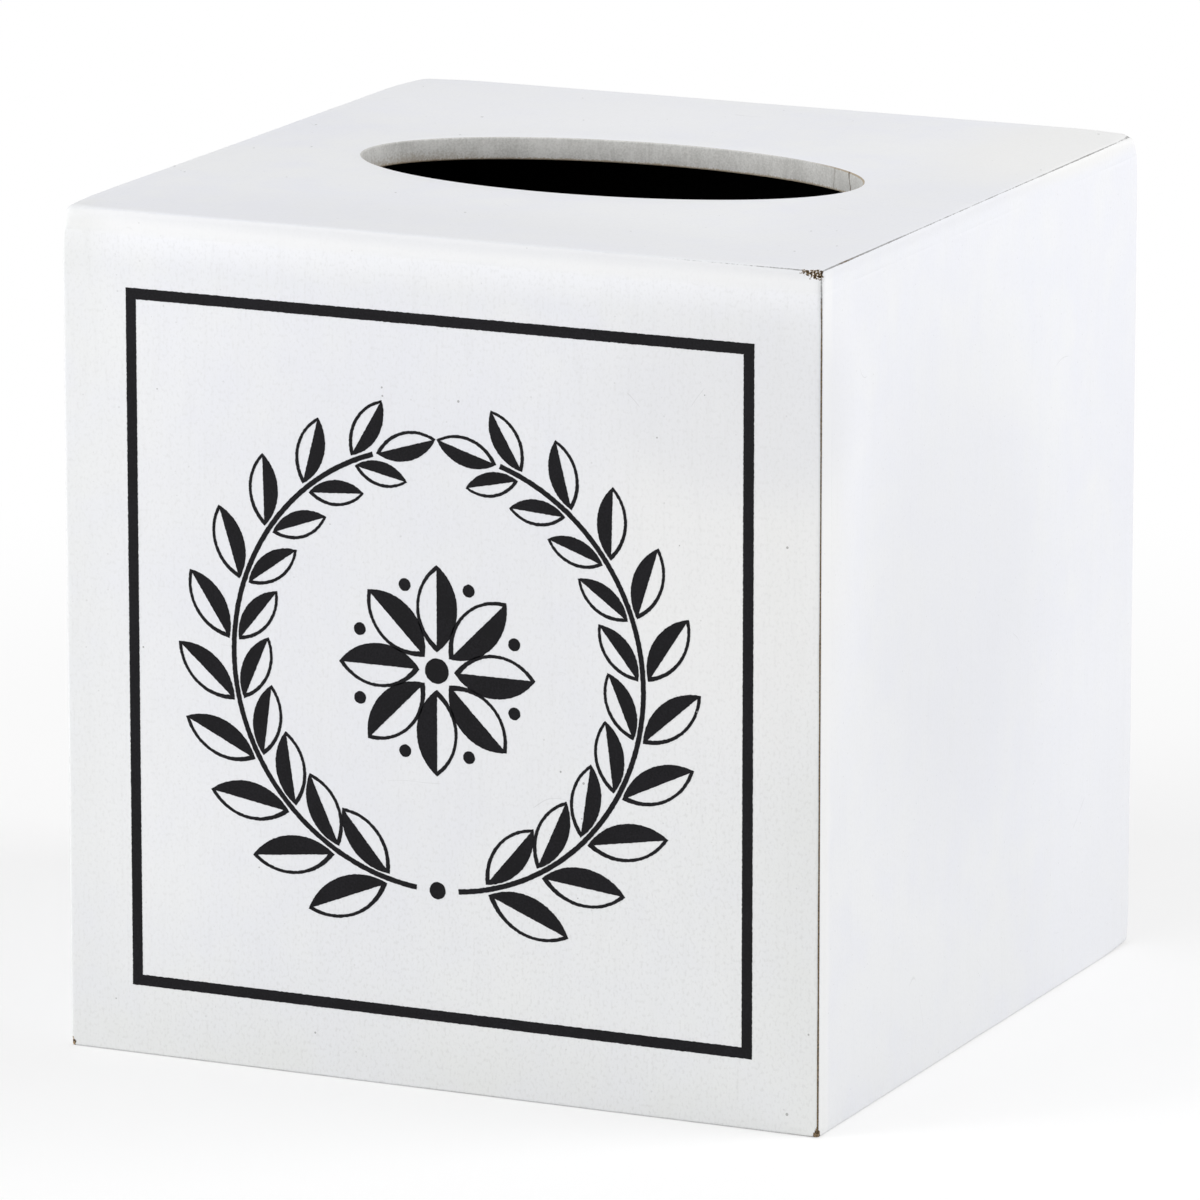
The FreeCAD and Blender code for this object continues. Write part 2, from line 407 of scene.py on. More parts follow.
below_joint = spread(axes["Z"], JOINT_HEIGHT - HIGHLIGHT_REACH, JOINT_HEIGHT)
under_lid = multiply(below_joint, on_front)
painted_highlight = multiply(under_lid, HIGHLIGHT_STRENGTH)
colour = blend_colours(painted_highlight, colour, PAINTED_HIGHLIGHT_WHITE)
cut = carried(tree, "cut")
colour = blend_colours(multiply(cut, CUT_STRENGTH), colour, EDGE_WHITE)

# %% [markdown]
# These places are painted light and painted shade: duller whites where less light falls on the
# cover, brighter ones where more falls, and warmer ones where the light is warmer. Each such place
# is egg-shaped, with a white of its own, a middle, a reach along each axis and a strength.

# %% White paint: painted light and shade
SHADE_PAINTED_WHITE = (0.770, 0.777, 0.804, 1)
LIGHT_PAINTED_WHITE = (0.892, 0.899, 0.926, 1)
WARM_LIGHT_PAINTED_WHITE = (0.850, 0.850, 0.842, 1)
PAINTED_LIGHT_AND_SHADE_PLACES = [
    ("middle of the right side", SHADE_PAINTED_WHITE, (0.070, -0.012, 0.084), (0.020, 0.054, 0.062), 0.55),
    ("front of the right side", LIGHT_PAINTED_WHITE, (0.070, -0.066, 0.110), (0.010, 0.022, 0.060), 0.40),
    ("low on the right side", LIGHT_PAINTED_WHITE, (0.070, 0.062, 0.020), (0.020, 0.050, 0.070), 0.55),
    ("field of the front", SHADE_PAINTED_WHITE, (-0.014, -0.070, 0.084), (0.068, 0.020, 0.072), 0.44),
    ("right of the front", WARM_LIGHT_PAINTED_WHITE, (0.052, -0.070, 0.096), (0.034, 0.020, 0.052), 0.80),
    ("upper right of the front", SHADE_PAINTED_WHITE, (0.056, -0.070, 0.122), (0.044, 0.020, 0.021), 0.55),
    ("left end of the front", HANDS_AND_SHADE_WHITE, (-0.070, -0.070, 0.143), (0.012, 0.010, 0.010), 0.45),
    ("front of the lid", SHADE_PAINTED_WHITE, (0.000, -0.070, 0.147), (0.110, 0.036, 0.003), 0.45),
    ("right of the lid", SHADE_PAINTED_WHITE, (0.070, -0.015, 0.147), (0.034, 0.100, 0.003), 0.45),
    ("back of the lid", LIGHT_PAINTED_WHITE, (-0.036, 0.050, 0.147), (0.060, 0.036, 0.003), 0.45),
    ("far corner of the lid", WARM_LIGHT_PAINTED_WHITE, (0.064, 0.050, 0.147), (0.026, 0.048, 0.004), 0.90),
]
SPOT_CORE = 0.35


def spot(place, centre, reach):
    """1 in the core of an egg-shaped place, falling to 0 at its reach along each axis."""
    away = calculate_vector("SUBTRACT", place, centre)
    shares = calculate_vector("DIVIDE", away, reach)
    return spread(calculate_vector("LENGTH", shares), 1.0, SPOT_CORE)


# Each place blends in its white: painted light where it is brighter, painted shade where it is
# duller.
for name, white, centre, reach, strength in PAINTED_LIGHT_AND_SHADE_PLACES:
    mask = multiply(spot(place, centre, reach), strength)
    colour = blend_colours(mask, colour, white)
print("uneven places:", ", ".join(name for name, *rest in PAINTED_LIGHT_AND_SHADE_PLACES))

# %% [markdown]
# Over the coat come the marks. First there is the texture: streaks from the brush,
# and a pitted grain that shows most low on the front.

# %% White paint: streaks and grain
STREAK_GREY = (0.60, 0.60, 0.59, 1)

streak_amount = spread(on_front, 0.0, 1.0, 0.045, 0.08)
streaks = multiply(spread(brushed["Streak"], 0.45, 0.75), streak_amount)
front_grain = spread(low_down, 0.4, 1.0, 0.10, 0.20)
grain_amount = calculate("MULTIPLY_ADD", on_front, front_grain, 0.08)
grains = multiply(spread(brushed["Grain"], 0.48, 0.72), grain_amount)
faces_only = calculate("MULTIPLY_ADD", cut, -0.7, 1.0)
texture = multiply(calculate("ADD", streaks, grains), faces_only)
colour = blend_colours(texture, colour, STREAK_GREY)

# %% [markdown]
# Then come specks of two sizes and a few hairline scratches. A hairline is where a
# slow noise crosses its middle value, shown only where a second noise is high,
# which leaves short curved strokes.

# %% White paint: specks and hairlines
SPECK_COLOUR = (0.20, 0.19, 0.18, 1)
HAIRLINE_BEND = 0.016
HAIRLINE_LENGTH = 0.011

specks = use_group(specks_group, place, Spacing=0.0046, Radius=0.0003)
pits = use_group(specks_group, place, Spacing=0.0022, Radius=0.0002)
dark_specks = multiply(specks["Speck"], 0.6)
dots = calculate("MULTIPLY_ADD", pits["Speck"], 0.16, dark_specks)
bend = cloud(place, HAIRLINE_BEND, detail=0.0)
from_middle = calculate("ABSOLUTE", calculate("SUBTRACT", bend, 0.5))
stroke = spread(from_middle, 0.0, 0.003, 0.20, 0.0)
shown = spread(cloud(place, HAIRLINE_LENGTH, detail=1.0), 0.67, 0.72)
hairline = multiply(stroke, shown)
colour = blend_colours(calculate("MAXIMUM", dots, hairline), colour, SPECK_COLOUR)

# %% [markdown]
# Last comes the sanding: thin paint turns grey, and bare board is brown along an edge and a mix of
# dark and tan where a corner has crumbled. Along the back of the top and the base of the right side
# the grey is also painted shade, on the round of the edge. The same masks drive the roughness and a
# shallow bump, so bare board looks drier and lower than paint.

# %% White paint: sanding, roughness and bump
THIN_PAINT_AND_EDGE_SHADE = (0.21, 0.21, 0.205, 1)
BARE_DARK = (0.046, 0.031, 0.018, 1)
BARE_TAN = (0.56, 0.41, 0.25, 1)

sanded = use_group(sanded_group, place)
# Thin paint turns grey; on the rounds of the back top edge and the right side's base this grey is
# also painted shade.
colour = blend_colours(multiply(sanded["Thin_and_shade"], 0.8), colour, THIN_PAINT_AND_EDGE_SHADE)
board = blend_colours(sanded["Tan"], BARE_DARK, BARE_TAN)
colour = blend_colours(sanded["Bare"], colour, board)
roughness = spread(brushed["Patch"], 0.3, 0.7, 0.56, 0.68)
roughness = calculate("MULTIPLY_ADD", sanded["Bare"], 0.25, roughness)
height = calculate("MULTIPLY_ADD", brushed["Streak"], 0.4, brushed["Grain"])
height = calculate("SUBTRACT", height, sanded["Bare"])
fill_inputs(shader, {
    "Base Color": colour, "Roughness": roughness, "Specular IOR Level": 0.1,
    "Normal": bump(height, distance=0.00007, strength=0.4),
})

# %% [markdown]
# ## The sawn wall of the opening
#
# The oval was cut with a fine blade, which leaves faint upright marks in fuzzy
# board. Only a thin mist of paint reached this wall, so it is greyer than the
# faces, with brown board along its rims, a stain at the left end and two splits at
# the right end.

# %% Sawn wall
MIST_PALE = (0.70, 0.695, 0.675, 1)
MIST_DARK = (0.52, 0.515, 0.495, 1)

sawn_wall, shader, place = new_finish("sawn_wall")
axes = axes_of(place)
marks = cloud(place, 0.0006, stretch=(1, 1, 8), detail=2.0)
blotch = cloud(place, 0.006)
grit = cloud(place, 0.00035)
fuzz = blend_values(0.4, blend_values(0.7, marks, grit), blotch)
colour = blend_colours(spread(fuzz, 0.36, 0.64), MIST_DARK, MIST_PALE)

# %% [markdown]
# The rims are brown where the mist of paint ran out: all along the lower one, and
# at the right end of the upper one. The stain at the left end rises from the lower
# rim and fades on its way up.

# %% Sawn wall: rims and stain
STAIN_BROWN = (0.38, 0.30, 0.20, 1)
STAIN_HEIGHTS = (0.0040, 0.0062)
LOWER_RIM = (0.00055, 0.00095)
UPPER_RIM = (0.00030, 0.00042)

above_joint = calculate("SUBTRACT", axes["Z"], JOINT_HEIGHT)
along = calculate("DIVIDE", axes["X"], OPENING_HALF_LENGTH)
stain_height = calculate("MULTIPLY_ADD", fuzz, 0.008, above_joint)
rising = spread(stain_height, *STAIN_HEIGHTS, 0.45, 0.0)
stain = multiply(spread(along, -0.55, -0.95), rising)
colour = blend_colours(stain, colour, STAIN_BROWN)

lower_rim = calculate("MULTIPLY_ADD", grit, 0.0008, above_joint)
colour = blend_colours(spread(lower_rim, *LOWER_RIM, 0.85, 0.0), colour, STAIN_BROWN)
below_top = calculate("SUBTRACT", BOARD, above_joint)
upper_rim = calculate("MULTIPLY_ADD", grit, 0.0003, below_top)
rim_line = spread(upper_rim, *UPPER_RIM, 1.0, 0.0)
upper_line = multiply(spread(along, 0.60, 0.85, 0.0, 0.8), rim_line)
colour = blend_colours(upper_line, colour, STAIN_BROWN)

# %% [markdown]
# The splits are lines at two chosen places along the opening's back wall, pushed
# about by noise so that they wander. Each has its place as a share of the opening's
# half length, half its width in metres and its strength.

# %% Sawn wall: splits
SPLIT_DARK = (0.14, 0.11, 0.08, 1)
SPLITS = ((0.755, 0.00018, 0.45), (0.855, 0.00026, 0.9))
WANDER = 0.0026

pushed = calculate("MULTIPLY_ADD", cloud(place, 0.003), WANDER, axes["X"])
at_back = spread(axes["Y"], 0.0, 0.004)
for share, half_width, strength in SPLITS:
    offset = calculate("SUBTRACT", pushed, share * OPENING_HALF_LENGTH + WANDER / 2)
    distance = calculate("ABSOLUTE", offset)
    line = spread(distance, half_width * 0.3, half_width, strength, 0.0)
    colour = blend_colours(multiply(line, at_back), colour, SPLIT_DARK)
fill_inputs(shader, {
    "Base Color": colour, "Roughness": spread(fuzz, 0.3, 0.7, 0.7, 0.9),
    "Specular IOR Level": 0.2, "Normal": bump(fuzz, distance=0.00012, strength=0.6),
})

# %% [markdown]
# ## The black inside
#
# Inside, the boards have one thin coat of flat black, which is painted shade as well as paint: it
# makes the opening a dark hole, as deep shade inside the box would. A little grey dust and some
# thin patches keep it from being a single colour when it is seen from below.

# %% Black inside
# The black is painted shade as well as paint.
DEEP_BLACK = (0.004, 0.004, 0.0045, 1)
DUSTY_BLACK = (0.014, 0.014, 0.015, 1)

black_inside_shade, shader, place = new_finish("black_inside_shade")
coat = cloud(place, 0.018, detail=4.0)
grain = cloud(place, 0.0009)
dusty = multiply(spread(coat, 0.4, 0.75), spread(grain, 0.4, 0.7))
fill_inputs(shader, {
    "Base Color": blend_colours(dusty, DEEP_BLACK, DUSTY_BLACK),
    "Roughness": spread(coat, 0.3, 0.7, 0.72, 0.9),
    "Specular IOR Level": 0.12, "Normal": bump(grain, distance=0.00008, strength=0.5),
})

# %% [markdown]
# ## Ink and pins
#
# The ink is pressed through a fine cloth screen, so it is a dull black with a
# faint mottle and a few pinholes where the white comes through. The pins are
# hidden in the boards, but they get their drawn-wire finish all the same, for
# anyone who takes the boards off.

# %% Ink
INK_BLACK = (0.0046, 0.0043, 0.0054, 1)
INK_GREY = (0.0108, 0.0102, 0.0124, 1)
PINHOLE = (0.45, 0.45, 0.46, 1)

black_ink, shader, place = new_finish("black_ink")
mottle = cloud(place, 0.006)
screen = cloud(place, 0.00035, detail=1.0)
pinholes = use_group(specks_group, place, Spacing=0.006, Radius=0.00022)
tone = blend_values(0.5, mottle, screen)
colour = blend_colours(spread(tone, 0.38, 0.66), INK_BLACK, INK_GREY)
colour = blend_colours(multiply(pinholes["Speck"], 0.5), colour, PINHOLE)
fill_inputs(shader, {
    "Base Color": colour, "Roughness": spread(mottle, 0.3, 0.7, 0.55, 0.7),
    "Specular IOR Level": 0.12, "Normal": bump(screen, distance=0.00003, strength=0.4),
})

# %% Wire
WIRE_BRIGHT = (0.56, 0.56, 0.57, 1)
WIRE_DULL = (0.40, 0.39, 0.38, 1)

drawn_wire, shader, place = new_finish("drawn_wire")
drawn = cloud(place, 0.0002, stretch=(1, 8, 8), detail=2.0)
fill_inputs(shader, {
    "Base Color": blend_colours(drawn, WIRE_DULL, WIRE_BRIGHT),
    "Roughness": spread(drawn, 0.3, 0.7, 0.28, 0.42), "Metallic": 1.0,
})

# %% [markdown]
# ## Sanding the edges
#
# A bevel gives every edge the same round, which looks machined. On this cover
# the round was made by hand: it swells and narrows along an edge, has small
# nicks, and is fuller at most corners. So the boards start square with
# close-set loops near their edges, and one function then pulls each point in to
# a rounded box whose radius changes from place to place. Because the
# function only looks at the outside of the whole cover, boards that meet at a
# joint are sanded alike on both sides of it. A full corner adds one amount to the
# radius round its upright edge, and another to the radius over the top or base.

# %% Sanding: corners
RIGHT_FRONT_TOP = Vector((HALF_WIDTH, -HALF_DEPTH, TOP))
RIGHT_FRONT_BASE = Vector((HALF_WIDTH, -HALF_DEPTH, 0))
RIGHT_BACK_TOP = Vector((HALF_WIDTH, HALF_DEPTH, TOP))
RIGHT_BACK_BASE = Vector((HALF_WIDTH, HALF_DEPTH, 0))
LEFT_FRONT_TOP = Vector((-HALF_WIDTH, -HALF_DEPTH, TOP))
LEFT_FRONT_BASE = Vector((-HALF_WIDTH, -HALF_DEPTH, 0))
LEFT_BACK_TOP = Vector((-HALF_WIDTH, HALF_DEPTH, TOP))
LEFT_BACK_BASE = Vector((-HALF_WIDTH, HALF_DEPTH, 0))
CORNER_REACH = 0.007
CORNER_RISE = 0.003
FULL_CORNERS = [
    (RIGHT_FRONT_TOP, 0.0004, 0.0002),
    (LEFT_FRONT_TOP, 0.0011, 0.0011),
    (RIGHT_BACK_TOP, 0.0026, 0.0008),
    (LEFT_BACK_TOP, 0.0030, 0.0006),
    (RIGHT_BACK_BASE, 0.0009, 0.0009),
    (LEFT_BACK_BASE, 0.0009, 0.0009),
]


def corner_fullness(point):
    """What the corners add to the radius round the upright edges, and to that over the ends."""
    round_edge, over_end = 0.0, 0.0
    for corner, upright_extra, end_extra in FULL_CORNERS:
        away = point - corner
        nearness = math.exp(-(away.xy.length / CORNER_REACH) ** 2 - (away.z / CORNER_RISE) ** 2)
        round_edge += upright_extra * nearness
        over_end += end_extra * nearness
    return round_edge, over_end


# %% [markdown]
# The radius itself swells and narrows by noise of two sizes, and a third noise cuts
# the nicks where it is high.

# %% Sanding: radius
TOP_RADIUS = 0.00085
SIDE_RADIUS = 0.00060
TOP_REACH = 0.006
SWELLS = ((0.22, 0.028, 1.3), (0.12, 0.005, 4.1))
NICK_SIZE = 0.012
NICK_START = 0.42


def wobble(point, size, seed):
    """Smooth noise from about -1 to 1, with bumps about size metres across."""
    return noise.noise(point / size + Vector((seed, 2 * seed, 3 * seed)))


def sand_radius(point):
    """The radius of the rounded edges at a place, in metres."""
    near_top = math.exp(-((TOP - point.z) / TOP_REACH) ** 2)
    plain = SIDE_RADIUS + (TOP_RADIUS - SIDE_RADIUS) * near_top
    swell = sum((amount * wobble(point, size, seed) for amount, size, seed in SWELLS), 1)
    nick = max(0.0, wobble(point, NICK_SIZE, 8.7) - NICK_START)
    return plain * (swell + nick)


front_edge = Vector((0, -HALF_DEPTH, TOP))
print(f"edge radius {sand_radius(front_edge) * 1000:.2f} mm in the middle of the front's top edge")

# %% [markdown]
# The function that sands a point also returns how far it lies round an edge, from 0
# on the flat to 1 in the middle of the round, with a peak that a power makes
# narrower. That times the amount of wear at the place is the value worn.

# %% Sanding: one point
BASE_SHARE = 0.6
PEAK_POWER = 2.5
ON_ROUND = 1.0001


def sand(point):
    """The point after sanding, and how far round an edge it lies."""
    radius = sand_radius(point)
    round_edge, over_end = corner_fullness(point)
    side = radius + round_edge
    upper = point.z > TOP / 2
    end = (radius if upper else radius * BASE_SHARE) + over_end
    near = Vector((
        max(0.0, 1 - (HALF_WIDTH - abs(point.x)) / side),
        max(0.0, 1 - (HALF_DEPTH - abs(point.y)) / side),
        max(0.0, 1 - (TOP - point.z if upper else point.z) / end),
    ))
    if near.length <= ON_ROUND:
        return point.copy(), 0.0
    near.normalize()
    moved = Vector((
        math.copysign(HALF_WIDTH - side * (1 - near.x), point.x) if near.x else point.x,
        math.copysign(HALF_DEPTH - side * (1 - near.y), point.y) if near.y else point.y,
        (TOP - end * (1 - near.z) if upper else end * (1 - near.z)) if near.z else point.z,
    ))
    pairs = (near.x * near.y) ** 2 + (near.y * near.z) ** 2 + (near.z * near.x) ** 2
    return moved, min(1.0, 2 * math.sqrt(pairs)) ** PEAK_POWER


# %% [markdown]
# ## Where the wear is
#
# The cover is worn most along the upright edge that faces the room, less along
# the top of the right side, and a little along the base. Each such edge is a row
# of places with an amount at each, and a point of a board takes the amount
# between the two nearest places, or the largest one if several edges reach it.
# Below about 0.8 the paint only thins. Everywhere else a low amount that drifts along the edge
# gives the odd grey stretch. Along the back of the top and the base of the right side the grey line
# is also painted shade, on the round of the edge.

# %% Wear
WEAR_REACH = 0.003
WORN_EDGES = [
    (RIGHT_FRONT_TOP, RIGHT_FRONT_BASE, (
        (0.0, 0.76), (0.04, 0.88), (0.08, 1.02), (0.3, 1.08), (0.6, 1.15), (1.0, 1.22))),
    (RIGHT_FRONT_TOP, RIGHT_BACK_TOP, (
        (0.0, 0.76), (0.05, 0.87), (0.1, 0.86), (0.2, 0.82),
        (0.35, 0.77), (0.65, 0.78), (0.83, 0.81), (1.0, 0.75))),
    (RIGHT_FRONT_TOP, LEFT_FRONT_TOP, (
        (0.0, 0.78), (0.05, 0.79), (0.12, 0.74), (0.25, 0.66), (0.4, 0.60))),
    # Painted shade as well as thin paint: the grey line on the round of the back top edge.
    (RIGHT_BACK_TOP, LEFT_BACK_TOP, ((0.0, 0.75), (1.0, 0.70))),
    (RIGHT_FRONT_BASE, LEFT_FRONT_BASE, (
        (0.0, 1.00), (0.02, 0.94), (0.06, 0.84), (0.12, 0.78), (1.0, 0.78))),
    # Painted shade as well as wear: the grey line on the round of the right side's base.
    (RIGHT_FRONT_BASE, RIGHT_BACK_BASE, ((0.0, 0.78), (1.0, 0.86))),
    (LEFT_FRONT_TOP, LEFT_FRONT_BASE, ((0.0, 0.64), (0.1, 0.70), (1.0, 0.70))),
    (LEFT_BACK_TOP, LEFT_BACK_BASE, ((0.0, 0.92), (1.0, 0.82))),
]
DRIFT_MIDDLE = 0.46
DRIFT_RANGE = 0.36
DRIFT_LENGTH = 0.035


def amount_along(share, places):
    """The amount at a share of an edge's length, between the places on either side of it."""
    for (start, low), (end, high) in zip(places, places[1:]):
        if start <= share <= end:
            return low + (high - low) * (share - start) / (end - start)
    return 0.0


def wear_amount(point):
    """How much sanding the edges near a point have had."""
    most = DRIFT_MIDDLE + DRIFT_RANGE * wobble(point, DRIFT_LENGTH, 6.2)
    for start, end, places in WORN_EDGES:
        share = min(1.0, max(0.0, geometry.intersect_point_line(point, start, end)[1]))
        distance = (point - start.lerp(end, share)).length
        if distance < WEAR_REACH:
            most = max(most, amount_along(share, places) * (1 - (distance / WEAR_REACH) ** 4))
    return most


print(f"wear {wear_amount((RIGHT_FRONT_TOP + RIGHT_FRONT_BASE) / 2):.2f} on the near edge")

# %% [markdown]
# ## Crumbled corners
#
# At a few corners the board has crumbled. Each is an egg-shaped reach round the
# corner, longest along the edge that was knocked. The points inside it are
# pushed in by noise, and carry the value chipped for the paint. The last number
# is the value clean, 1 where the board broke off clean and 0 where it crumbled.

# %% Crumbled corners
CHIP_DEPTH = 0.0003
CHIP_STEEPNESS = 1.6
CHIP_BUMP = 0.0009
CHIPS = [
    (RIGHT_FRONT_TOP, Vector((0.0050, 0.0010, 0.0021)), 0.0),
    (RIGHT_FRONT_BASE, Vector((0.0010, 0.0008, 0.0018)), 1.0),
    (LEFT_FRONT_BASE, Vector((0.0011, 0.0011, 0.0018)), 0.6),
    (LEFT_BACK_TOP, Vector((0.0020, 0.0042, 0.0022)), 0.0),
]


def nearest_chip(point):
    """How broken the board is at a point, 1 in a chip and 0 outside, and how clean the break is."""
    most, clean = 0.0, 0.0
    for corner, reach, break_kind in CHIPS:
        away = Vector((gap / size for gap, size in zip(point - corner, reach)))
        if 1 - away.length > most:
            most, clean = 1 - away.length, break_kind
    return min(1.0, most * CHIP_STEEPNESS), clean


def chip_sink(point):
    """How far the surface of a chip lies below the board's own."""
    crumb = max(0.0, 0.5 + 0.9 * wobble(point, CHIP_BUMP, 7.4))
    return CHIP_DEPTH * nearest_chip(point)[0] * crumb


print(f"{len(CHIPS)} crumbled corners, up to {CHIP_DEPTH * 1000:.1f} mm deep")

# %% [markdown]
# ## Joints, sawn edges and hands
#
# Paint bridges most of a butt joint and sinks into the rest, so a joint is a faint broken line.
# Points on a joint are pushed in by a few hundredths of a millimetre. The value cut is 1 on the
# lid's edge at the front and on the ends of the front board, and it changes over a millimetre, as
# the paint does; the other sawn edges were painted over with the sides. The last value is high near
# the edges of a face, where hands take hold of it.

# %% Joints, sawn edges and hands
SNAP = 0.00001
INNER_WIDTH = HALF_WIDTH - BOARD
INNER_DEPTH = HALF_DEPTH - BOARD
SEAM_DEPTH = 0.00004
SEAM_SHARE = 0.4
SEAM_LENGTH = 0.016
BRIDGE = 0.0006
HAND_REACH = 0.012


def at_end(point):
    """Whether a point is on the left or right side of the cover."""
    return HALF_WIDTH - abs(point.x) < SNAP


def at_side(point):
    """Whether a point is on any of the four sides."""
    return at_end(point) or HALF_DEPTH - abs(point.y) < SNAP


def past_joints(point):
    """How far a point lies past the lid's joint, and past those beside the front and back."""
    return point.z - JOINT_HEIGHT, abs(point.y) - INNER_DEPTH


def seam_sink(point):
    """How far paint has sunk into a joint."""
    lid_gap, end_gap = past_joints(point)
    on_lid_joint = at_side(point) and abs(lid_gap) < SNAP
    on_end_joint = at_end(point) and abs(end_gap) < SNAP
    if not (on_lid_joint or on_end_joint):
        return 0.0
    return SEAM_DEPTH * max(0.0, SEAM_SHARE + wobble(point, SEAM_LENGTH, 3.3))


def cut_share(point):
    """1 on the sawn edge of a board and 0 on its face."""
    waver = BRIDGE * wobble(point, 0.004, 9.1)
    lid_gap, end_gap = past_joints(point)
    in_front = HALF_DEPTH + point.y < SNAP
    on_end = at_end(point) and point.y < 0
    gaps = [gap for gap, there in ((lid_gap, in_front), (end_gap, on_end)) if there]
    shares = [0.5 + (gap + waver) / (2 * BRIDGE) for gap in gaps]
    return min(1.0, max(shares + [0.0]))


def handled_share(point):
    """1 at an edge of the cover, falling off over the reach of a thumb."""
    to_end, to_face = HALF_WIDTH - abs(point.x), HALF_DEPTH - abs(point.y)
    gaps = sorted((to_end, to_face, min(point.z, TOP - point.z)))
    return math.exp(-(gaps[1] / HAND_REACH) ** 2)


print(f"joint line up to {SEAM_DEPTH * (1 + SEAM_SHARE) * 1e6:.0f} micrometres deep")

# %% [markdown]
# ## From a square board to a piece of the cover
#
# Every board is finished in the same way: each point is sanded, sunk and given
# its five values, and the mesh becomes an object that rides on the cover's
# body and stands for its solid.

# %% Finish a board
SHARP_ANGLE = math.radians(40)
BOARD_VALUES = ("worn", "chipped", "clean", "cut", "dulled")


def outward(point):
    """The direction out of the outer face or faces that a point is on."""
    direction = Vector((
        math.copysign(1, point.x) if at_end(point) else 0,
        math.copysign(1, point.y) if HALF_DEPTH - abs(point.y) < SNAP else 0,
        1 if TOP - point.z < SNAP else 0,
    ))
    return direction.normalized()


def add_piece(name, mesh, node):
    """Links a mesh as a piece that rides on the cover and stands for one of its solids."""
    piece = add_object(name, mesh)
    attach(piece, "root")
    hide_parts(node)
    print(f"{name}: {len(mesh.vertices)} points, {len(mesh.polygons)} faces")


def finish_board(bm, name, node):
    """Sands the points of a board, gives them their values and makes it a piece of the cover."""
    worn, chipped, clean, cut, dulled = (
        bm.verts.layers.float.new(value) for value in BOARD_VALUES)
    for vertex in bm.verts:
        square = vertex.co.copy()
        sanded_point, roundness = sand(square)
        vertex.co = sanded_point - outward(square) * (seam_sink(square) + chip_sink(square))
        vertex[worn] = roundness * wear_amount(square) if roundness else 0.0
        vertex[chipped], vertex[clean] = nearest_chip(square)
        vertex[cut] = cut_share(square)
        vertex[dulled] = handled_share(square)
    bmesh.ops.recalc_face_normals(bm, faces=bm.faces)
    mesh = bpy.data.meshes.new(name)
    bm.to_mesh(mesh)
    bm.free()
    for material in (white_paint, sawn_wall, black_inside_shade):
        mesh.materials.append(material)
    mesh.shade_smooth()
    mesh.set_sharp_from_angle(angle=SHARP_ANGLE)
    add_piece(name, mesh, node)


# %% [markdown]
# ## The four walls
#
# A wall could be modelled by bevelling a cube, but the sanding needs loops where
# the edges are and few of them elsewhere. So a cube is cut into strips along
# each axis with subdivide_edges, and the evenly spaced loops are then slid to
# chosen stations: close together at the edges, wider towards the middle.

# %% Walls
NEAR_EDGE = (
    0, 0.00012, 0.00026, 0.00042, 0.0006, 0.0008, 0.0011, 0.0015,
    0.0020, 0.0026, 0.0035, 0.0050, 0.0070,
)
NEAR_JOINT = (0, 0.00018, 0.0006, 0.0016, 0.0035)
THIN_EDGE = NEAR_EDGE[:9]
THIN_JOINT = NEAR_JOINT[:3]
COARSE_STEP = 0.0026
PAINT, SAWN, BLACK = range(3)


def stations(low, high, low_steps, high_steps):
    """Places for loops from low to high: given steps in from each end, and even ones between."""
    first = [low + step for step in low_steps]
    last = [high - step for step in reversed(high_steps)]
    gap = last[0] - first[-1]
    count = max(1, round(gap / COARSE_STEP))
    between = [first[-1] + gap * index / count for index in range(1, count)]
    return first + between + last


def wall(name, node, places):
    """A board as a cube cut at three lists of places, one for each axis."""
    bm = bmesh.new()
    bmesh.ops.create_cube(bm, size=1)
    for axis in range(3):
        across = [
            edge for edge in bm.edges
            if abs(edge.verts[0].co[axis] - edge.verts[1].co[axis]) > 0.5
        ]
        bmesh.ops.subdivide_edges(bm, edges=across, cuts=len(places[axis]) - 2, use_grid_fill=True)
    for vertex in bm.verts:
        for axis in range(3):
            index = round((vertex.co[axis] + 0.5) * (len(places[axis]) - 1))
            vertex.co[axis] = places[axis][index]
    for face in bm.faces:
        middle = face.calc_center_median()
        inside = abs(middle.x) < INNER_WIDTH + SNAP and abs(middle.y) < INNER_DEPTH + SNAP
        face.material_index = BLACK if inside else PAINT
    finish_board(bm, name, node)


def thickness(face_at, joint_at):
    """Stations through a board, from its outer face to the face that is hidden or black."""
    if face_at < joint_at:
        return stations(face_at, joint_at, THIN_EDGE, THIN_JOINT)
    return stations(joint_at, face_at, THIN_JOINT, THIN_EDGE)


# %% Make the walls
upright = stations(0, JOINT_HEIGHT, NEAR_EDGE, NEAR_JOINT)
full_width = stations(-HALF_WIDTH, HALF_WIDTH, NEAR_EDGE, NEAR_EDGE)
between = stations(-INNER_DEPTH, INNER_DEPTH, NEAR_JOINT, NEAR_JOINT)

wall("front_board", "front_panel", [full_width, thickness(-HALF_DEPTH, -INNER_DEPTH), upright])
wall("back_board", "back_panel", [full_width, thickness(HALF_DEPTH, INNER_DEPTH), upright])
wall("left_board", "left_panel", [thickness(-HALF_WIDTH, -INNER_WIDTH), between, upright])
wall("right_board", "right_panel", [thickness(HALF_WIDTH, INNER_WIDTH), between, upright])

# %% [markdown]
# ## The lid
#
# A square board with an oval hole has no neat grid, but it is a ring: every
# point of the oval looks out to a point of the square. So the lid starts as a
# circle of points and is extruded loop by loop, up the sawn wall, out over the
# top, down the outside and back under to where it began. Each new loop is only
# moved to its place, and the last one is merged with the first.

# %% Lid: outline and opening
RIM_STEPS = 3
ACROSS_TOP = (0.1, 0.25, 0.4, 0.55, 0.7, 0.82, 0.92)


